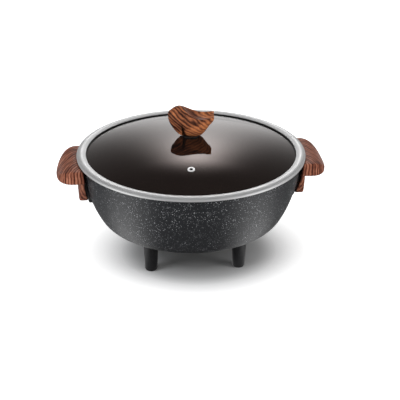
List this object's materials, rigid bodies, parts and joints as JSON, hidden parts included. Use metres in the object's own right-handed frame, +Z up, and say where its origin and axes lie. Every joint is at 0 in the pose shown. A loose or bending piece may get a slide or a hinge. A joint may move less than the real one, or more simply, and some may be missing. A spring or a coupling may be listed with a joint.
{
  "type": "divided electric hot pot",
  "caption": "Round electric hot pot on short legs, split by an S-shaped wall, with wood-look ear handles and a domed smoky glass lift-off lid with a carved knob.",
  "frame": {"origin": "on the table, under the bowl's axis", "axes": "+X through the right handle, which is the longest extent; +Y to the rear, where the plug inlet points; +Z up"},
  "size_m": [0.366, 0.31, 0.2121],
  "materials": {
    "bowl_coating": "cast aluminium under a charcoal non-stick coating with fine white speckles",
    "cover_paint": "satin black heat-resistant paint",
    "plain_aluminium": "mill finish",
    "element_sheath": "dark oxidised sheath",
    "bush_ceramic": "matt white",
    "zinc_steel": "bright plated steel",
    "guard_plastic": "black heat-resistant plastic",
    "leg_black": "glossy black, moulded",
    "pad_rubber": "matt black",
    "handle_wood": "reddish-brown wood grain, satin",
    "bracket_black": "cast, matt black",
    "rivet_aluminium": "satin",
    "smoky_glass": "smoky brown tinted toughened glass",
    "band_steel": "satin stainless steel, brushed round the rim",
    "seal_black": "black silicone",
    "knob_wood": "brown wood grain, satin",
    "insert_brass": "plain"
  },
  "bodies": {
    "pot": {"pot_bowl": "bowl_coating", "divider_wall": "bowl_coating", "leg_screws": "zinc_steel", "base_cover": "cover_paint", "base_cover_screw": "zinc_steel", "heat_spreader": "plain_aluminium", "heating_element": "element_sheath", "terminal_bushes": "bush_ceramic", "terminal_pins": "zinc_steel", "probe_guide": "zinc_steel", "inlet_guard": "guard_plastic", "handle_right": "handle_wood", "handle_left": "handle_wood", "handle_bracket_right": "bracket_black", "handle_bracket_left": "bracket_black", "handle_screws": "zinc_steel", "bracket_rivets": "rivet_aluminium", "leg_rear_right": "leg_black", "foot_pad_rear_right": "pad_rubber", "leg_rear_left": "leg_black", "foot_pad_rear_left": "pad_rubber", "leg_front_left": "leg_black", "foot_pad_front_left": "pad_rubber", "leg_front_right": "leg_black", "foot_pad_front_right": "pad_rubber"},
    "lid": {"lid_glass": "smoky_glass", "lid_band": "band_steel", "lid_seal": "seal_black", "vent_eyelet": "band_steel", "knob_pad": "seal_black", "knob_lower_pad": "seal_black", "knob_washer": "zinc_steel", "knob_screw": "zinc_steel", "lid_knob": "knob_wood", "knob_insert": "insert_brass"}
  },
  "joints": [
    {"name": "lid_lift", "type": "slide", "parent": "pot", "child": "lid", "axis": [0, 0, 1], "range_m": [0, 0.15]}
  ]
}
